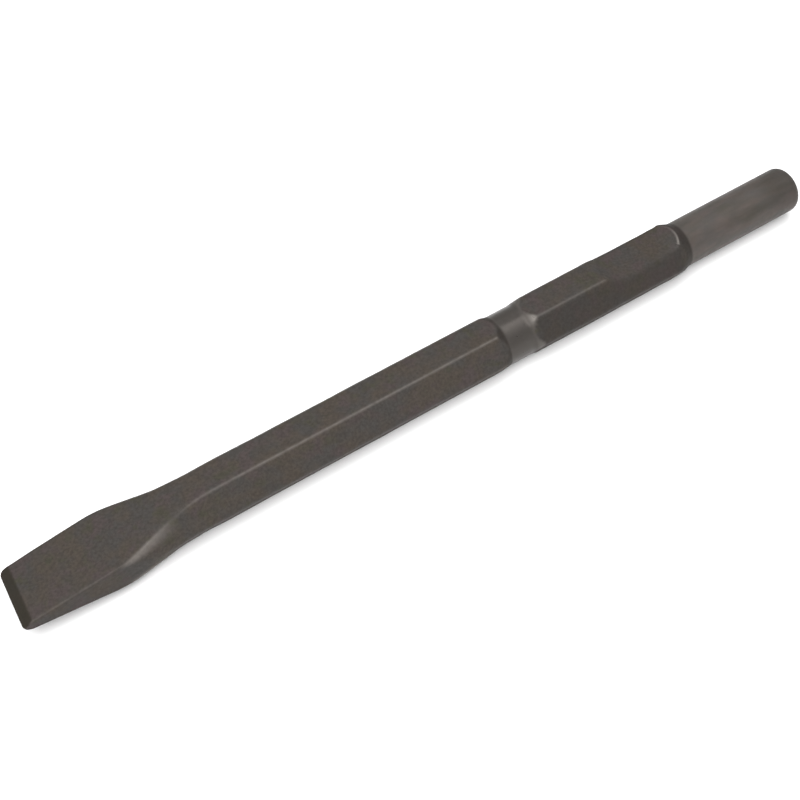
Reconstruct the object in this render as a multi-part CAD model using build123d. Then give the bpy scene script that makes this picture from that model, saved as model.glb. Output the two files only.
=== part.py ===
"""Cold chisel with a machine shank, 17 mm hexagon stock, 280 mm long.

The chisel is one forging. It lies along X with the cutting edge towards -X, and the origin is the
centre of the rear face, on the axis of the bar. The flat of the blade and two flats of the hexagon
face +Z and -Z, so the chisel lies steadily on one flat. The retaining notch is in the top flat.
"""
from build123d import *
import math
import os

# Driving dimensions, mm
HEX_FLATS = 17.0
OVERALL_LENGTH = 280.0
BLADE_WIDTH = 22.1
CORNER_SETBACK = 0.6
FORGED_CORNER_SETBACK = 2.2

# Places along the bar, measured from the cutting edge
BEVEL_LENGTH = 2.9
BLADE_LENGTH = 27.0
FLAT_NARROWS_FROM = 29.5
FORGING_MIDDLE = 43.0
FORGED_LENGTH = 60.0
STEM_END = 159.4
NECK_START = 162.1
NECK_END = 171.3
SHANK_START = 174.9
NOTCH_START = 200.3
NOTCH_END = 231.0
SHANK_END = 227.8
PILOT_START = 233.2

# Blade
EDGE_THICKNESS = 0.4
BLADE_THICKNESS_AT_BEVEL = 3.8
BLADE_SIDE_CROWN = 0.2
TIP_WIDTH = 21.6
TIP_CORNER_RADIUS = 1.4
EDGE_SKEW_DEGREES = 3.0

# Turned shank
NECK_RADIUS = 8.45
PILOT_RADIUS = 7.65
REAR_EDGE_RADIUS = 2.8
NOTCH_DEPTH = 2.35
NOTCH_CUTTER_RADIUS = 14.0

HALF_FLATS = HEX_FLATS / 2
HALF_CORNERS = HEX_FLATS / math.sqrt(3)
HALF_FLAT_WIDTH = HALF_CORNERS / 2
CLEAR_RADIUS = HALF_CORNERS + 3


def from_edge(distance):
    """X of a place that is this far behind the cutting edge."""
    return distance - OVERALL_LENGTH


def smooth_step(value, start, end):
    """0 before start, 1 after end, and a smooth rise between them."""
    fraction = min(max((value - start) / (end - start), 0), 1)
    return fraction * fraction * (3 - 2 * fraction)


def blade_half_height(distance):
    """Half thickness of the forged end: one straight taper from the bevel to the bar."""
    start = BLADE_THICKNESS_AT_BEVEL / 2
    slope = (HALF_FLATS - start) / (FORGED_LENGTH - BEVEL_LENGTH)
    return min(start + slope * (distance - BEVEL_LENGTH), HALF_FLATS)


def blade_half_width(distance):
    """Half width of the forged end at mid height, where the sides are fullest."""
    tip = TIP_WIDTH / 2
    spread = tip + (BLADE_WIDTH / 2 - tip) * smooth_step(distance, 0, BLADE_LENGTH)
    gathered = smooth_step(distance, BLADE_LENGTH, FORGED_LENGTH)
    return spread + (HALF_CORNERS - spread) * gathered


def blade_half_flat(distance):
    """Half width of the flat on top, which narrows from the blade's to the hexagon's."""
    full = blade_half_width(distance) - BLADE_SIDE_CROWN
    gathered = smooth_step(distance, FLAT_NARROWS_FROM, FORGED_LENGTH)
    return full + (HALF_FLAT_WIDTH - full) * gathered


def rounded_corner(before, corner, after, setback):
    """Arc that leaves each side this far short of the corner, with the two points it joins."""
    start = corner + (before - corner).normalized() * setback
    end = corner + (after - corner).normalized() * setback
    middle_of_chord = (start + end) / 2
    half_chord = (end - start).length / 2
    to_chord = (middle_of_chord - corner).length
    sagitta = half_chord * (setback - half_chord) / to_chord
    toward_corner = (corner - middle_of_chord).normalized()
    return ThreePointArc(start, middle_of_chord + toward_corner * sagitta, end), start, end


def section_wire(distance):
    """Six-sided section at this distance from the edge, with its corners rounded."""
    width = blade_half_width(distance)
    flat = blade_half_flat(distance)
    height = blade_half_height(distance)
    outline = [(width, 0), (flat, height), (-flat, height), (-width, 0), (-flat, -height), (flat, -height)]
    corners = [Vector(from_edge(distance), y, z) for y, z in outline]
    forged = smooth_step(distance, BLADE_LENGTH, FORGING_MIDDLE)
    forged *= 1 - smooth_step(distance, FORGING_MIDDLE, FORGED_LENGTH)
    face_setback = CORNER_SETBACK + (FORGED_CORNER_SETBACK - CORNER_SETBACK) * forged
    setbacks = [CORNER_SETBACK, face_setback, face_setback] * 2
    arcs = [rounded_corner(corners[i - 1], corners[i], corners[(i + 1) % 6], setbacks[i]) for i in range(6)]
    edges = []
    for (arc, _, leave), (_, arrive, _) in zip(arcs, arcs[1:] + arcs[:1]):
        edges += [arc, Line(leave, arrive)]
    return Wire(edges)


def make_forged_end():
    """Blade and its forged transition, up to the plain bar."""
    step = 4.75
    count = round(FORGED_LENGTH / step)
    distances = [FORGED_LENGTH * index / count for index in range(count + 1)]
    return Solid.make_loft([section_wire(distance) for distance in distances])


def make_bar():
    """Rounded hexagon bar from the forged end to the end of the shank, before turning."""
    section = Face(section_wire(FORGED_LENGTH))
    return Solid.extrude(section, Vector(PILOT_START - FORGED_LENGTH, 0, 0))


def make_bevel_envelope():
    """Everything that the ground bevel and the rounded blade corners leave of the forged end.

    The edge is ground slightly out of square, and its corner on the -Y side reaches furthest.
    """
    edge = EDGE_THICKNESS / 2
    shoulder = BLADE_THICKNESS_AT_BEVEL / 2
    clear = BLADE_WIDTH
    reach = FORGED_LENGTH + 2
    upper = [(0, edge), (BEVEL_LENGTH, shoulder), (BLADE_LENGTH, clear), (reach, clear)]
    lower = [(x, -z) for x, z in reversed(upper)]
    side = Plane.XZ * make_face(Polyline(*upper, *lower, close=True))
    tip = Pos(reach / 2, TIP_WIDTH / 2) * Rectangle(reach, TIP_WIDTH)
    tip = fillet(tip.vertices().group_by(Axis.X)[0], TIP_CORNER_RADIUS)
    body = Pos(reach / 2 + TIP_CORNER_RADIUS, 0) * Rectangle(reach, 3 * clear)
    envelope = extrude(side, 2 * clear, both=True) & extrude(tip + body, clear, both=True)
    return Pos(from_edge(0), -TIP_WIDTH / 2) * Rot(0, 0, -EDGE_SKEW_DEGREES) * envelope


def cone_reach(full, turned, turned_radius):
    """Where the chamfer cone between a turned end and the bar's full corners has CLEAR_RADIUS."""
    run = (full - turned) * (CLEAR_RADIUS - HALF_CORNERS) / (HALF_CORNERS - turned_radius)
    return from_edge(full + run)


def make_turned_envelope():
    """Solid of revolution that holds the neck, the shank's coned ends and the pilot."""
    front = from_edge(0) - CLEAR_RADIUS
    rear = PILOT_RADIUS - REAR_EDGE_RADIUS
    profile = Polyline(
        (0, rear),
        (0, 0),
        (front, 0),
        (front, CLEAR_RADIUS),
        (cone_reach(STEM_END, NECK_START, NECK_RADIUS), CLEAR_RADIUS),
        (from_edge(NECK_START), NECK_RADIUS),
        (from_edge(NECK_END), NECK_RADIUS),
        (cone_reach(SHANK_START, NECK_END, NECK_RADIUS), CLEAR_RADIUS),
        (cone_reach(SHANK_END, PILOT_START, PILOT_RADIUS), CLEAR_RADIUS),
        (from_edge(PILOT_START), PILOT_RADIUS),
        (-REAR_EDGE_RADIUS, PILOT_RADIUS),
    )
    rounded_edge = RadiusArc((-REAR_EDGE_RADIUS, PILOT_RADIUS), (0, rear), REAR_EDGE_RADIUS)
    face = Plane.XZ * make_face(profile + rounded_edge)
    return revolve(face, Axis.X)


def make_pilot_blank():
    """Round bar for the pilot. It runs on forwards inside the shank, below the flats."""
    length = OVERALL_LENGTH - NECK_START
    return Plane.YZ.offset(-length) * extrude(Circle(PILOT_RADIUS), length)


def make_notch_cutter():
    """Flat milled across the top, with both ends ramped by the cutter's radius."""
    radius = NOTCH_CUTTER_RADIUS
    ramp = math.sqrt(2 * radius * NOTCH_DEPTH - NOTCH_DEPTH ** 2)
    start, end = from_edge(NOTCH_START), from_edge(NOTCH_END)
    top, floor = HALF_FLATS, HALF_FLATS - NOTCH_DEPTH
    sky = top + radius
    outline = Polyline((end, top), (end, sky), (start, sky), (start, top))
    outline += RadiusArc((start, top), (start + ramp, floor), -radius)
    outline += Line((start + ramp, floor), (end - ramp, floor))
    outline += RadiusArc((end - ramp, floor), (end, top), -radius)
    return extrude(Plane.XZ * make_face(outline), BLADE_WIDTH, both=True)


def make_chisel():
    """The whole chisel, from the cutting edge to the rear face."""
    forged_end = make_forged_end() & make_bevel_envelope()
    shank = (make_bar() + make_pilot_blank()) & make_turned_envelope()
    return forged_end + (shank - make_notch_cutter())


os.makedirs("parts", exist_ok=True)
chisel = make_chisel()
export_step(chisel, "parts/chisel_bar.step")
box = chisel.bounding_box()
print("size", box.size, "volume", round(chisel.volume, 1), "solids", len(chisel.solids()))
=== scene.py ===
"""Looks of the cold chisel: one forging with a ground edge, a turned neck and a notched, turned shank.

The visible bar is a grid of rings. Every ring lies at one place along the bar, and each of its
points is pushed out from the bar's axis until it meets the shape. Lengths are in millimetres
until the mesh is made, in metres.
"""
import math

import bmesh
import bpy
import numpy as np
from mathutils import Matrix, Vector


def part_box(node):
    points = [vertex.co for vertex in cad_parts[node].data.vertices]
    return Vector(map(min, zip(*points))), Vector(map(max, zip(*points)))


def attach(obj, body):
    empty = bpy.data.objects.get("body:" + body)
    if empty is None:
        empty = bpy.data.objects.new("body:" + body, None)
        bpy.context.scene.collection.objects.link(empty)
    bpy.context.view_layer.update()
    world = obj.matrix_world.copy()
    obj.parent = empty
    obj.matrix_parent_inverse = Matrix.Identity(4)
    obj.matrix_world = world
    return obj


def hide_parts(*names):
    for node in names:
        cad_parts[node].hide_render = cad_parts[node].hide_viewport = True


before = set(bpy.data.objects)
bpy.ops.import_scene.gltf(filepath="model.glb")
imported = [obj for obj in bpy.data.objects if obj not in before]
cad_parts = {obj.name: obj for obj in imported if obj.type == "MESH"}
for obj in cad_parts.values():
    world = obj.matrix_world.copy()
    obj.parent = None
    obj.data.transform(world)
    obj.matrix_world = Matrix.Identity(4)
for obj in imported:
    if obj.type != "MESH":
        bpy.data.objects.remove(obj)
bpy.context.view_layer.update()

MM = 0.001
BAR_NODE = "chisel_bar"
LOW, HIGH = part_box(BAR_NODE)

# Sizes of the bar, mm. Places are measured back from the cutting edge.
HALF_FLATS = (HIGH.z - LOW.z) / 2 / MM
HALF_CORNERS = HALF_FLATS / math.cos(math.radians(30))
REAR_END = HIGH.x / MM
LENGTH = 280.0
BLADE_WIDTH = 22.1
TIP_WIDTH = 21.6
TIP_CORNER_RADIUS = 1.4
SIDE_CROWN = 0.2
EDGE_SKEW_DEGREES = 3.0
SKEW_FADES_OVER = 14.0
EDGE_HALF_THICKNESS = 0.2
BEVEL_HALF_THICKNESS = 1.9
BEVEL_LENGTH = 2.9
BLADE_LENGTH = 27.0
FLAT_NARROWS_FROM = 29.5
FORGING_MIDDLE = 43.0
FORGED_LENGTH = 60.0
STEM_END = 159.4
NECK_START = 162.1
NECK_END = 171.3
SHANK_START = 174.9
NOTCH_START = 200.3
NOTCH_END = 231.0
NOTCH_DEPTH = 2.35
NOTCH_CUTTER_RADIUS = 14.0
SHANK_END = 227.8
PILOT_START = 233.2
NECK_RADIUS = 8.45
PILOT_RADIUS = 7.65
REAR_EDGE_RADIUS = 2.8

# Roundness of the edges, mm
ROLLED_MOST = 0.8
ROLLED_EDGE = 1.15
BLADE_EDGE = 0.9
SHOULDER_CUT = 0.1
SHOULDER_CLEAR = 1.2
SHOULDER_BLEND = 2.6
SHOULDER_TILT = math.radians(33)
GROUND_EDGE = 0.4
TURNED_EDGE = 0.45
NOTCH_EDGE = 0.5

# Surface relief, mm
FORGING_WAVE = 0.07
SCALE_GRAIN = 0.018
PIT_DEPTH = 0.06

# How strongly each finish, painted shade and painted highlight shows on the stretches that have it, from 0
# to 1
NECK_BRIGHTNESS = 0.15
CONE_BRIGHTNESS = 0.5
NECK_POLISH = 0.8
CONE_POLISH = 0.95
NECK_SCALE = 0.45
REAR_SCALE = 0.35
SHANK_SIDE_SHADE = 0.6
EDGE_WEAR_AND_HIGHLIGHT = 0.6
BLADE_WEAR_AND_HIGHLIGHT = 0.4
SHANK_WEAR_AND_HIGHLIGHT = 0.7
FAR_RIM_HIGHLIGHT = 0.15
NEAR_RIM_HIGHLIGHT = 0.9

# Light on the stage
WORLD_STRENGTH = 0.75
FLOOR_HALF_WIDTH = 3.0

# Camera: degrees, metres, and mm of lens
CAMERA_AZIMUTH = -27.3
CAMERA_ELEVATION = 50.6
CAMERA_ROLL = -6.5
CAMERA_DISTANCE = 0.4136
CAMERA_LENS = 61.2
CAMERA_SENSOR = 36.0
CAMERA_AIM = (-0.0109, -0.00776)


def smooth_step(value, start, end):
    fraction = np.clip((value - start) / (end - start), 0, 1)
    return fraction * fraction * (3 - 2 * fraction)


def soft_max(first, second, width):
    """The larger of two distances, with the edge between them rounded over this width."""
    overlap = np.clip(1 - np.abs(first - second) / width, 0, 1)
    return np.maximum(first, second) + overlap ** 2 * width / 4


def lattice_noise(points, size, seed):
    """Smooth random field between -1 and 1, whose features have this size in mm."""
    places = points / size
    cell = np.floor(places).astype(np.int64)
    inside = places - cell
    blend = inside * inside * (3 - 2 * inside)
    total = np.zeros(len(points))
    for corner in np.ndindex(2, 2, 2):
        offset = np.array(corner)
        x, y, z = (cell + offset).T
        mixed = (x * 73856093) ^ (y * 19349663) ^ (z * 83492791) ^ (seed * 2654435761)
        mixed = ((mixed ^ (mixed >> 13)) * 1274126177) & 0x7FFFFFFF
        value = ((mixed ^ (mixed >> 16)) & 0xFFFF) / 32767.5 - 1
        weight = np.prod(np.where(offset == 1, blend, 1 - blend), axis=1)
        total += value * weight
    return total


# The shape, as functions of the place along the bar


def rolled(place):
    """How much the forging rounds its shoulders here: 0 on the plain blade and bar."""
    begun = smooth_step(place, BLADE_LENGTH - 10, BLADE_LENGTH + 12)
    return ROLLED_MOST * begun * (1 - smooth_step(place, FORGING_MIDDLE + 4, FORGED_LENGTH + 2))


def half_height(place):
    taper = (HALF_FLATS - BEVEL_HALF_THICKNESS) / (FORGED_LENGTH - BEVEL_LENGTH)
    blade = BEVEL_HALF_THICKNESS + taper * (place - BEVEL_LENGTH)
    return -soft_max(-blade, np.full_like(place, -HALF_FLATS), 0.8)


def half_width(place):
    tip = TIP_WIDTH / 2
    spread = tip + (BLADE_WIDTH / 2 - tip) * smooth_step(place, 0, BLADE_LENGTH)
    width = spread + (HALF_CORNERS - spread) * smooth_step(place, BLADE_LENGTH, FORGED_LENGTH)
    inset = np.clip(TIP_CORNER_RADIUS - place, 0, TIP_CORNER_RADIUS)
    return width - TIP_CORNER_RADIUS + np.sqrt(TIP_CORNER_RADIUS ** 2 - inset ** 2)


def half_flat(place):
    full = half_width(place) - SIDE_CROWN
    gathered = smooth_step(place, FLAT_NARROWS_FROM, FORGED_LENGTH)
    return full + (HALF_CORNERS / 2 - full) * gathered


def bevel_half_height(place):
    rise = (BEVEL_HALF_THICKNESS - EDGE_HALF_THICKNESS) / BEVEL_LENGTH
    nose = np.clip(place / EDGE_HALF_THICKNESS, 0, 1)
    return EDGE_HALF_THICKNESS * np.sqrt(1 - (1 - nose) ** 2) + rise * place


def cone_radius(place, full, turned, radius):
    """Radius of the cone between the bar's full corners and a stretch turned to this radius."""
    return radius + (turned - place) * (HALF_CORNERS - radius) / (turned - full)


def turned_radius(place):
    """Radius of the lathe-turned outline: neck, cones, pilot and rounded rear edge."""
    clear_of_bar = HALF_CORNERS + 3
    stem_cone = cone_radius(place, STEM_END, NECK_START, NECK_RADIUS)
    front_cone = cone_radius(place, SHANK_START, NECK_END, NECK_RADIUS)
    rear_cone = cone_radius(place, SHANK_END, PILOT_START, PILOT_RADIUS)
    neck = soft_max(np.maximum(stem_cone, front_cone), np.full_like(place, NECK_RADIUS), TURNED_EDGE)
    pilot = soft_max(rear_cone, np.full_like(place, PILOT_RADIUS), TURNED_EDGE)
    outline = np.minimum(np.minimum(neck, pilot), clear_of_bar)
    inset = np.clip(place - (LENGTH - REAR_EDGE_RADIUS), 0, REAR_EDGE_RADIUS)
    return outline - REAR_EDGE_RADIUS + np.sqrt(REAR_EDGE_RADIUS ** 2 - inset ** 2)


def notch_height(place):
    """Height of the notch's surface above the axis; far above the bar away from the notch."""
    radius = NOTCH_CUTTER_RADIUS
    floor = HALF_FLATS - NOTCH_DEPTH
    ramp = math.sqrt(2 * radius * NOTCH_DEPTH - NOTCH_DEPTH ** 2)
    past = np.maximum(NOTCH_START + ramp - place, place - (NOTCH_END - ramp))
    past = np.clip(past, 0, radius * 0.98)
    return floor + radius - np.sqrt(radius ** 2 - past ** 2)


def shoulder_value(place, y, z):
    """Distance to the sloping shoulder that the forging rolls between each flat and side."""
    across, up = math.sin(SHOULDER_TILT), math.cos(SHOULDER_TILT)
    corner = half_flat(place) * across + half_height(place) * up
    cut = SHOULDER_CUT * rolled(place) - SHOULDER_CLEAR * (1 - rolled(place))
    return np.abs(y) * across + np.abs(z) * up - corner + cut


def solid_value(place, y, z):
    """Below zero inside the bar, above zero outside it, in mm."""
    width, flat, height = half_width(place), half_flat(place), half_height(place)
    lean = width - flat
    span = np.hypot(height, lean)
    upper_side = (height * np.abs(y) + lean * z - height * width) / span
    lower_side = (height * np.abs(y) - lean * z - height * width) / span
    blade = 1 - smooth_step(place, BLADE_LENGTH, FORGED_LENGTH)
    rounding = ROLLED_EDGE + (BLADE_EDGE - ROLLED_EDGE) * blade
    value = soft_max(upper_side, lower_side, rounding)
    value = soft_max(value, shoulder_value(place, y, z), 0.1 + SHOULDER_BLEND * rolled(place))
    value = soft_max(value, np.abs(z) - height, rounding)
    value = soft_max(value, np.hypot(y, z) - turned_radius(place), TURNED_EDGE)
    value = soft_max(value, np.abs(z) - bevel_half_height(place), GROUND_EDGE)
    return soft_max(value, z - notch_height(place), NOTCH_EDGE)


def ring_places():
    """Places of the rings, close together where the shape turns quickly."""
    spans = [
        (0.02, 0.3, 6),
        (0.3, 4.0, 22),
        (4.0, FORGED_LENGTH, 80),
        (FORGED_LENGTH, STEM_END - 2, 120),
        (STEM_END - 2, SHANK_START + 2, 66),
        (SHANK_START + 2, NOTCH_START - 1, 34),
        (NOTCH_START - 1, NOTCH_START + 9, 28),
        (NOTCH_START + 9, NOTCH_END - 9, 18),
        (NOTCH_END - 9, PILOT_START + 2, 50),
        (PILOT_START + 2, LENGTH - REAR_EDGE_RADIUS - 0.5, 56),
    ]
    places = [np.linspace(start, end, count, endpoint=False) for start, end, count in spans]
    turn = np.linspace(0, math.pi / 2, 14, endpoint=False)
    rounded = LENGTH - REAR_EDGE_RADIUS + REAR_EDGE_RADIUS * np.sin(turn)
    return np.concatenate([*places, rounded])


def ring_directions(places, per_side=11, per_top=14):
    """Unit directions from the axis to points spread along each ring's sides and flats."""
    width = half_width(places)[:, None]
    flat = half_flat(places)[:, None]
    height = np.minimum(half_height(places), bevel_half_height(places))[:, None]
    up_side = (1 - np.cos(np.linspace(0, math.pi, per_side + 1)[:-1])) / 2
    along_top = np.sin(np.linspace(-math.pi / 2, math.pi / 2, 2 * per_top + 1)[:-1])
    side_y, side_z = width + (flat - width) * up_side, height * up_side
    top_y, top_z = -flat * along_top, np.repeat(height, 2 * per_top, axis=1)
    down = slice(None, 0, -1)
    far_y = -np.concatenate([flat, side_y[:, down]], axis=1)
    far_z = np.concatenate([height, side_z[:, down]], axis=1)
    upper_y = np.concatenate([side_y, top_y, far_y], axis=1)
    upper_z = np.concatenate([side_z, top_z, far_z], axis=1)
    y = np.concatenate([upper_y, -upper_y], axis=1)
    z = np.concatenate([upper_z, -upper_z], axis=1)
    length = np.hypot(y, z)
    return y / length, z / length


def push_out(places, y, z):
    """Distance from the axis to the shape along each direction."""
    inner = np.zeros_like(y)
    outer = np.full_like(y, BLADE_WIDTH)
    for _ in range(34):
        middle = (inner + outer) / 2
        inside = solid_value(places, middle * y, middle * z) < 0
        inner = np.where(inside, middle, inner)
        outer = np.where(inside, outer, middle)
    return inner


def surface_relief(points, normals, masks):
    """Moves each point along its normal: forging waves, rolled scale, pits and bench wear."""
    forged = 1 - np.clip(masks["ground"] + masks["turned"] + masks["polish"], 0, 1)
    wave = lattice_noise(points * (0.55, 1, 1), 9.0, 11) + 0.5 * lattice_noise(points, 4.0, 12)
    grain = lattice_noise(points, 1.1, 13) + 0.7 * lattice_noise(points, 0.6, 14)
    spots = lattice_noise(points, 1.7, 15) * 0.6 + lattice_noise(points, 0.9, 16) * 0.5
    pits = np.clip(spots - 0.46, 0, 1) * 3
    scar = np.clip(lattice_noise(points * (0.35, 1, 1), 2.4, 17) - 0.62, 0, 1) * 2
    height = forged * (FORGING_WAVE * wave + SCALE_GRAIN * grain - PIT_DEPTH * (pits + scar))
    height += (1 - forged) * (0.15 * SCALE_GRAIN * grain)
    return points + normals * height[:, None], np.clip(pits + scar, 0, 1) * forged


def skewed(points):
    """Shears the tip so that the cutting edge is a little out of square."""
    fade = 1 - smooth_step(points[:, 0], BEVEL_LENGTH, SKEW_FADES_OVER)
    shear = math.tan(math.radians(EDGE_SKEW_DEGREES)) * (points[:, 1] + TIP_WIDTH / 2)
    moved = points.copy()
    moved[:, 0] += shear * fade
    return moved


def turned_metal(place):
    """Clean turned metal: all of the pilot, the shank's front cone, and a little of the scaled neck."""
    neck = NECK_BRIGHTNESS * smooth_step(place, NECK_START - 0.6, NECK_START + 1.2)
    front_cone = (CONE_BRIGHTNESS - neck) * smooth_step(place, NECK_END - 0.3, NECK_END + 0.4)
    pilot = smooth_step(place, PILOT_START - 0.6, PILOT_START + 1.2)
    return (neck + front_cone) * (place < NOTCH_START) + pilot


def painted_shade_and_scale(place):
    """Painted shade on the two cones that face the rear, and thin dark scale on the neck and the pilot's
    end.
    """
    stem_cone = smooth_step(place, STEM_END - 0.5, STEM_END + 0.5)
    stem_cone *= 1 - smooth_step(place, NECK_START - 0.1, NECK_START + 0.8)
    neck = smooth_step(place, NECK_START, NECK_START + 1) * (1 - smooth_step(place, NECK_END, NECK_END + 1))
    shank_cone = smooth_step(place, SHANK_END, PILOT_START - 2)
    shank_cone *= 1 - smooth_step(place, PILOT_START - 0.1, PILOT_START + 0.9)
    pilot_end = smooth_step(place, LENGTH - 18, LENGTH - 7)
    return stem_cone + NECK_SCALE * neck + shank_cone + REAR_SCALE * pilot_end


def polished_metal(place, radius):
    """Smoother than the rest: the neck, and the corners of the shank's front cone."""
    neck = NECK_POLISH * smooth_step(place, NECK_START - 0.2, NECK_START + 1.0)
    cone = CONE_POLISH * (0.5 + 0.5 * smooth_step(radius, NECK_RADIUS + 0.15, NECK_RADIUS + 0.7))
    front_cone = (cone - neck) * smooth_step(place, NECK_END - 0.3, NECK_END + 0.4)
    return (neck + front_cone) * (place < NOTCH_START)


def corner_wear_and_highlight(place, y, z):
    """Rubbed metal with painted highlight along the four upper and lower corners of the bar, less on the
    blade and shank.
    """
    width, flat, height = half_width(place), half_flat(place), half_height(place)
    lean = width - flat
    side = (height * np.abs(y) + lean * np.abs(z) - height * width) / np.hypot(height, lean)
    from_corner = np.maximum(-side, height - np.abs(z)) / ROLLED_EDGE
    rubbed_and_highlight = BLADE_WEAR_AND_HIGHLIGHT + (1 - BLADE_WEAR_AND_HIGHLIGHT) * smooth_step(place, FORGING_MIDDLE, FORGED_LENGTH + 20)
    rubbed_and_highlight *= 1 - (1 - SHANK_WEAR_AND_HIGHLIGHT) * smooth_step(place, NECK_START, SHANK_START)
    return EDGE_WEAR_AND_HIGHLIGHT * smooth_step(-from_corner, -0.6, -0.05) * rubbed_and_highlight


def shoulder_highlight(place, y, z):
    """Painted highlight on the sloping shoulder, where the blade turns into the bar."""
    shoulder = smooth_step(shoulder_value(place, y, z), -2.6, -0.3)
    shoulder *= smooth_step(half_height(place) - np.abs(z), 0.05, 0.6)
    return shoulder * smooth_step(place, 29, 34) * (1 - smooth_step(place, 36, 52))


def notch_rim_highlight(place, y, beyond):
    """Painted highlight on the rim where the notch runs out into the cone, brightest on the -Y side."""
    rim = smooth_step(beyond, -0.8, -0.2) * smooth_step(place, NOTCH_END - 9, NOTCH_END - 5)
    return rim * (FAR_RIM_HIGHLIGHT + (NEAR_RIM_HIGHLIGHT - FAR_RIM_HIGHLIGHT) * smooth_step(-y, -3, 4))


def shank_side_painted_shade(place, z):
    """Painted shade on the sloping sides of the shank, between its top and bottom flats."""
    shank = smooth_step(place, NECK_END, SHANK_START) * (1 - smooth_step(place, SHANK_END, PILOT_START))
    return SHANK_SIDE_SHADE * shank * smooth_step(half_height(place) - np.abs(z), 0.3, 1.2)


def surface_masks(points):
    """How much each point belongs to the ground bevel, to each finish of the metal, and to painted shade
    and painted highlight.
    """
    place, y, z = points.T
    radius = np.hypot(y, z)
    beyond = radius - turned_radius(place)
    ground = smooth_step(np.abs(z) - bevel_half_height(place), -0.3, -0.02)
    lathed = smooth_step(beyond, -0.35, -0.02)
    notch = smooth_step(z - notch_height(place), -0.3, -0.05)
    turned = lathed * turned_metal(place)
    # Rubbed corners plus painted highlight on the corners and the shoulder
    wear_and_painted_highlight = np.maximum(corner_wear_and_highlight(place, y, z), shoulder_highlight(place, y, z)) * (1 - turned)
    return {
        "ground": ground,
        "turned": turned * (1 - notch),
        "polish": lathed * polished_metal(place, radius),
        "wear_and_painted_highlight": np.maximum(wear_and_painted_highlight, notch * notch_rim_highlight(place, y, beyond)),
        # Painted shade on the rear-facing cones and the shank's sides, plus real scale on the neck and the
        # pilot's end
        "scale_and_painted_shade": lathed * painted_shade_and_scale(place) + shank_side_painted_shade(place, z) * (1 - lathed) * (1 - notch),
    }


def grid_faces(rings, around):
    """Quads between the rings, as corner indices."""
    ring = np.arange(rings - 1)[:, None] * around
    here = np.arange(around)[None, :]
    after = (here + 1) % around
    quads = np.stack([ring + here, ring + after, ring + around + after, ring + around + here], axis=-1)
    return quads.reshape(-1, 4)


def grid_normals(grid):
    """Outward unit normals of a grid of rings."""
    along = np.gradient(grid, axis=0)
    around = np.roll(grid, -1, axis=1) - np.roll(grid, 1, axis=1)
    normals = np.cross(around, along)
    return normals / np.maximum(np.linalg.norm(normals, axis=2, keepdims=True), 1e-9)


def make_bar():
    """The whole visible chisel as one closed mesh."""
    places = ring_places()
    direction_y, direction_z = ring_directions(places)
    columns = np.repeat(places[:, None], direction_y.shape[1], axis=1)
    distance = push_out(columns, direction_y, direction_z)
    grid = np.stack([columns, distance * direction_y, distance * direction_z], axis=-1)
    normals = grid_normals(grid).reshape(-1, 3)
    points = grid.reshape(-1, 3)
    masks = surface_masks(points)
    points, masks["pitted"] = surface_relief(points, normals, masks)
    around = direction_y.shape[1]
    edge = points[:around] * (0, 1, 0)
    points = skewed(np.concatenate([points, edge, [[LENGTH, 0, 0]]]))
    masks = {name: np.concatenate([values, values[:around], values[-1:]]) for name, values in masks.items()}
    faces = grid_faces(len(places), around).tolist()
    first_edge, centre, last_ring = len(places) * around, len(points) - 1, (len(places) - 1) * around
    for here in range(around):
        after = (here + 1) % around
        faces.append([first_edge + here, first_edge + after, after, here])
        faces.append([last_ring + here, last_ring + after, centre])
    points = (points + (REAR_END - LENGTH, 0, 0)) * MM
    mesh = bpy.data.meshes.new("chisel_bar_detail")
    mesh.from_pydata(points.tolist(), [], faces)
    for name, values in masks.items():
        layer = mesh.attributes.new(name, "FLOAT", "POINT")
        layer.data.foreach_set("value", values.astype(np.float32))
    return weld_edge(mesh)


def weld_edge(mesh):
    """Joins the upper and lower rows of the cutting edge, and points the faces outwards."""
    work = bmesh.new()
    work.from_mesh(mesh)
    bmesh.ops.remove_doubles(work, verts=work.verts[:], dist=0.00001)
    bmesh.ops.dissolve_degenerate(work, edges=work.edges[:], dist=0.000001)
    bmesh.ops.recalc_face_normals(work, faces=work.faces[:])
    work.to_mesh(mesh)
    work.free()
    mesh.shade_smooth()
    return mesh


# Materials


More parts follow.
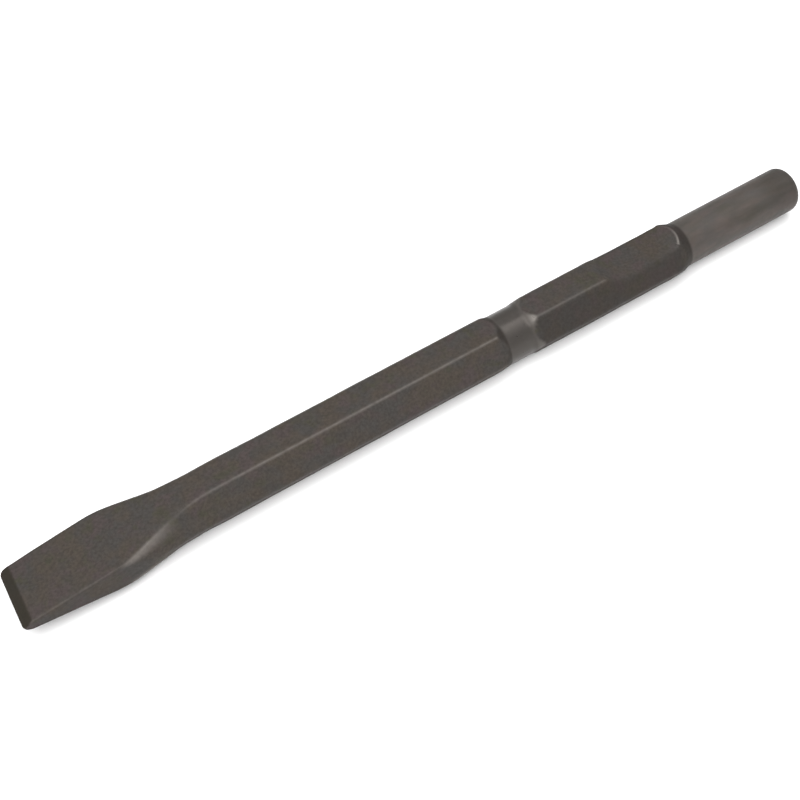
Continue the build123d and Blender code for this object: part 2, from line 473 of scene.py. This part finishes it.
class Nodes:
    """Short forms for making and joining the nodes of one material."""

    def __init__(self, material):
        material.use_nodes = True
        self.tree = material.node_tree
        self.shader = self.tree.nodes["Principled BSDF"]

    def add(self, kind, **settings):
        node = self.tree.nodes.new(kind)
        for name, value in settings.items():
            setattr(node, name, value)
        return node

    def join(self, source, target):
        self.tree.links.new(source, target)

    def attribute(self, name):
        return self.add("ShaderNodeAttribute", attribute_name=name).outputs["Fac"]

    def coordinates(self, stretch=(1, 1, 1)):
        place = self.add("ShaderNodeTexCoord").outputs["Object"]
        mapping = self.add("ShaderNodeMapping")
        mapping.inputs["Scale"].default_value = stretch
        self.join(place, mapping.inputs["Vector"])
        return mapping.outputs["Vector"]

    def noise(self, size, detail=3.0, stretch=(1, 1, 1), roughness=0.55):
        """Noise from 0 to 1 whose features have this size in mm."""
        node = self.add("ShaderNodeTexNoise")
        node.inputs["Scale"].default_value = 1 / (size * MM)
        node.inputs["Detail"].default_value = detail
        node.inputs["Roughness"].default_value = roughness
        self.join(self.coordinates(stretch), node.inputs["Vector"])
        return node.outputs["Fac"]

    def ramp(self, value, low, high, start=0.0, end=1.0):
        """Maps low to start and high to end, and holds the ends."""
        node = self.add("ShaderNodeMapRange")
        for name, number in zip(("From Min", "From Max", "To Min", "To Max"), (low, high, start, end)):
            node.inputs[name].default_value = number
        self.join(value, node.inputs["Value"])
        return node.outputs["Result"]

    def math(self, operation, first, second):
        node = self.add("ShaderNodeMath", operation=operation)
        for socket, value in zip(node.inputs, (first, second)):
            if isinstance(value, (int, float)):
                socket.default_value = value
            else:
                self.join(value, socket)
        return node.outputs["Value"]

    def mix(self, factor, first, second):
        """Mixes two colours, each a socket or an (r, g, b)."""
        node = self.add("ShaderNodeMix", data_type="RGBA")
        self.join(factor, node.inputs["Factor"])
        for name, value in (("A", first), ("B", second)):
            socket = [s for s in node.inputs if s.name == name and s.type == "RGBA"][0]
            if isinstance(value, tuple):
                socket.default_value = (*value, 1)
            else:
                self.join(value, socket)
        return [s for s in node.outputs if s.type == "RGBA"][0]


# Colours. The pit colour also darkens as painted shade, the worn colour also lightens as painted highlight,
# and the ground colour is darkened as painted shade.
BROWN_STEEL = (0.042, 0.0335, 0.0263)
GREY_STEEL = (0.0358, 0.0325, 0.0298)
ROSE_STEEL = (0.0425, 0.0325, 0.031)
OLIVE_STEEL = (0.0352, 0.0325, 0.022)
PIT_AND_SHADE_COLOUR = (0.013, 0.01, 0.008)
WORN_AND_HIGHLIGHT_STEEL = (0.185, 0.168, 0.155)
POLISHED_STEEL = (0.08, 0.073, 0.067)
TURNED_STEEL = (0.086, 0.07, 0.063)
TURNED_GREY = (0.066, 0.061, 0.057)
TURNED_STAIN = (0.048, 0.044, 0.035)
GROUND_STEEL_PAINTED_DARK = (0.012, 0.0095, 0.005)

# Gloss of the steel: how metallic each bare finish is, and how much smoother it is than scale
WORN_METALLIC = 0.6
TURNED_METALLIC = 0.3
POLISHED_METALLIC = 0.65
STEEL_SPECULAR = 0.2
SCALE_ROUGHNESS = (0.6, 0.72)
BARE_SMOOTHER = 0.5
POLISH_SMOOTHER = 0.09
BUMP_STRENGTH = 0.35
BUMP_DEPTH = 0.05


def make_steel():
    """Dark heat-treated steel: mottled scale, worn edges with painted highlight, painted highlight on the
    shoulders and notch rim, painted shade on the rear-facing cones, the shank's sides and the ground bevel,
    and cleaner turned metal.
    """
    material = bpy.data.materials.new("forged_steel")
    nodes = Nodes(material)
    colour = nodes.mix(nodes.ramp(nodes.noise(9, 2), 0.4, 0.6), BROWN_STEEL, GREY_STEEL)
    colour = nodes.mix(nodes.ramp(nodes.noise(6.5, 2), 0.52, 0.66), colour, ROSE_STEEL)
    colour = nodes.mix(nodes.ramp(nodes.noise(5.2, 3), 0.56, 0.7), colour, OLIVE_STEEL)
    colour = nodes.mix(nodes.ramp(nodes.noise(0.9, 4), 0.35, 0.72, 0.0, 0.5), colour, PIT_AND_SHADE_COLOUR)
    turned = nodes.attribute("turned")
    ground = nodes.attribute("ground")
    polish = nodes.attribute("polish")
    greyer = nodes.ramp(nodes.noise(3.4, 2, (0.4, 1, 1)), 0.34, 0.66)
    stained = nodes.ramp(nodes.noise(3.6, 2, (0.25, 1, 1)), 0.4, 0.75, 0.0, 0.8)
    bare_steel = nodes.mix(stained, nodes.mix(greyer, TURNED_STEEL, TURNED_GREY), TURNED_STAIN)
    colour = nodes.mix(nodes.math("MULTIPLY", turned, 0.75), colour, bare_steel)
    # Ground bevel: its brown colour darkened nearly to black, painted shade for the bevel's dark reflection
    colour = nodes.mix(nodes.math("MULTIPLY", ground, 0.85), colour, GROUND_STEEL_PAINTED_DARK)
    colour = nodes.mix(polish, colour, POLISHED_STEEL)
    patchy = nodes.ramp(nodes.noise(2.2, 3), 0.35, 0.65, 0.7, 1.0)
    # Rubbed corners and painted highlights lighten the colour towards the worn colour
    rubbed_and_highlight = nodes.math("MULTIPLY", nodes.attribute("wear_and_painted_highlight"), patchy)
    colour = nodes.mix(nodes.math("MULTIPLY", rubbed_and_highlight, 0.8), colour, WORN_AND_HIGHLIGHT_STEEL)
    # Pits, real scale and painted shade darken the colour towards the pit colour
    pitted = nodes.math("MULTIPLY", nodes.attribute("pitted"), 0.3)
    dark = nodes.math("MAXIMUM", pitted, nodes.attribute("scale_and_painted_shade"))
    colour = nodes.mix(nodes.math("MULTIPLY", dark, 0.7), colour, PIT_AND_SHADE_COLOUR)
    nodes.join(colour, nodes.shader.inputs["Base Color"])
    turned_bare = nodes.math("MULTIPLY", turned, TURNED_METALLIC)
    polished_bare = nodes.math("MULTIPLY", polish, POLISHED_METALLIC)
    worn_bare = nodes.math("MULTIPLY", rubbed_and_highlight, WORN_METALLIC)
    bare = nodes.math("MAXIMUM", worn_bare, nodes.math("MAXIMUM", turned_bare, polished_bare))
    nodes.join(bare, nodes.shader.inputs["Metallic"])
    nodes.shader.inputs["Specular IOR Level"].default_value = STEEL_SPECULAR
    rough = nodes.ramp(nodes.noise(1.6, 4), 0.3, 0.7, *SCALE_ROUGHNESS)
    rough = nodes.math("SUBTRACT", rough, nodes.math("MULTIPLY", bare, BARE_SMOOTHER))
    rough = nodes.math("SUBTRACT", rough, nodes.math("MULTIPLY", polish, POLISH_SMOOTHER))
    nodes.join(rough, nodes.shader.inputs["Roughness"])
    grain = nodes.noise(0.45, 4, roughness=0.65)
    lathe = nodes.noise(0.35, 1, stretch=(1, 0.02, 0.02))
    grinding = nodes.noise(0.3, 1, stretch=(0.04, 1, 0.04))
    machined = nodes.math("ADD", nodes.math("MAXIMUM", turned, polish), ground)
    height = nodes.math("MULTIPLY", grain, nodes.ramp(machined, 0, 0.8, 1.0, 0.13))
    for marks, where, depth in ((lathe, turned, 0.5), (grinding, ground, 0.6)):
        cut = nodes.math("MULTIPLY", nodes.math("MULTIPLY", marks, where), depth)
        height = nodes.math("ADD", height, cut)
    bump = nodes.add("ShaderNodeBump")
    bump.inputs["Strength"].default_value = BUMP_STRENGTH
    bump.inputs["Distance"].default_value = BUMP_DEPTH * MM
    nodes.join(height, bump.inputs["Height"])
    nodes.join(bump.outputs["Normal"], nodes.shader.inputs["Normal"])
    return material


def make_floor_material():
    """Matt white backdrop paper."""
    material = bpy.data.materials.new("pale_paper")
    nodes = Nodes(material)
    tone = nodes.mix(nodes.noise(60, 2), (0.9, 0.9, 0.9), (0.93, 0.93, 0.93))
    nodes.join(tone, nodes.shader.inputs["Base Color"])
    nodes.shader.inputs["Roughness"].default_value = 0.9
    return material


# Stage


def add_object(name, data):
    thing = bpy.data.objects.new(name, data)
    bpy.context.scene.collection.objects.link(thing)
    return thing


def direction(azimuth, elevation):
    """From the object towards a viewer: azimuth 0 is -Y, and 90 is +X."""
    turn, rise = math.radians(azimuth), math.radians(elevation)
    return Vector((math.sin(turn) * math.cos(rise), -math.cos(turn) * math.cos(rise), math.sin(rise)))


def add_softbox(name, azimuth, elevation, distance, width, height, power):
    """Rectangular light that faces the middle of the bar."""
    light = bpy.data.lights.new(name, "AREA")
    light.shape = "RECTANGLE"
    light.size, light.size_y = width, height
    light.energy = power
    box = add_object(name, light)
    back = direction(azimuth, elevation)
    box.location = CENTRE + back * distance
    box.rotation_euler = back.to_track_quat("Z", "Y").to_euler()


def add_camera():
    data = bpy.data.cameras.new("camera")
    data.lens = CAMERA_LENS
    data.sensor_width = CAMERA_SENSOR
    camera = add_object("camera", data)
    back = direction(CAMERA_AZIMUTH, CAMERA_ELEVATION)
    level = Vector((math.cos(math.radians(CAMERA_AZIMUTH)), math.sin(math.radians(CAMERA_AZIMUTH)), 0))
    raised = back.cross(level)
    roll = math.radians(CAMERA_ROLL)
    right = level * math.cos(roll) + raised * math.sin(roll)
    up = raised * math.cos(roll) - level * math.sin(roll)
    place = CENTRE + back * CAMERA_DISTANCE + right * CAMERA_AIM[0] + up * CAMERA_AIM[1]
    turn = Matrix((right, up, back)).transposed()
    camera.matrix_world = Matrix.Translation(place) @ turn.to_4x4()
    bpy.context.scene.camera = camera


def add_floor():
    mesh = bpy.data.meshes.new("floor")
    half = FLOOR_HALF_WIDTH
    corners = [(-half, -half, LOW.z), (half, -half, LOW.z), (half, half, LOW.z), (-half, half, LOW.z)]
    mesh.from_pydata(corners, [], [(0, 1, 2, 3)])
    mesh.materials.append(make_floor_material())
    floor = add_object("floor", mesh)


def add_world():
    world = bpy.data.worlds.new("studio")
    world.use_nodes = True
    world.node_tree.nodes["Background"].inputs["Color"].default_value = (1, 1, 1, 1)
    world.node_tree.nodes["Background"].inputs["Strength"].default_value = WORLD_STRENGTH
    bpy.context.scene.world = world


CENTRE = Vector((REAR_END - LENGTH / 2, 0, 0)) * MM

bar = add_object("chisel", make_bar())
bar.data.materials.append(make_steel())
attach(bar, "root")
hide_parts(BAR_NODE)

add_floor()
add_world()
add_softbox("key_softbox", -24, 45, 0.65, 0.5, 0.4, 1.3)
add_softbox("top_softbox", -27, 80, 0.9, 1.0, 1.2, 13.0)
add_camera()
bpy.context.scene.view_settings.view_transform = "Standard"
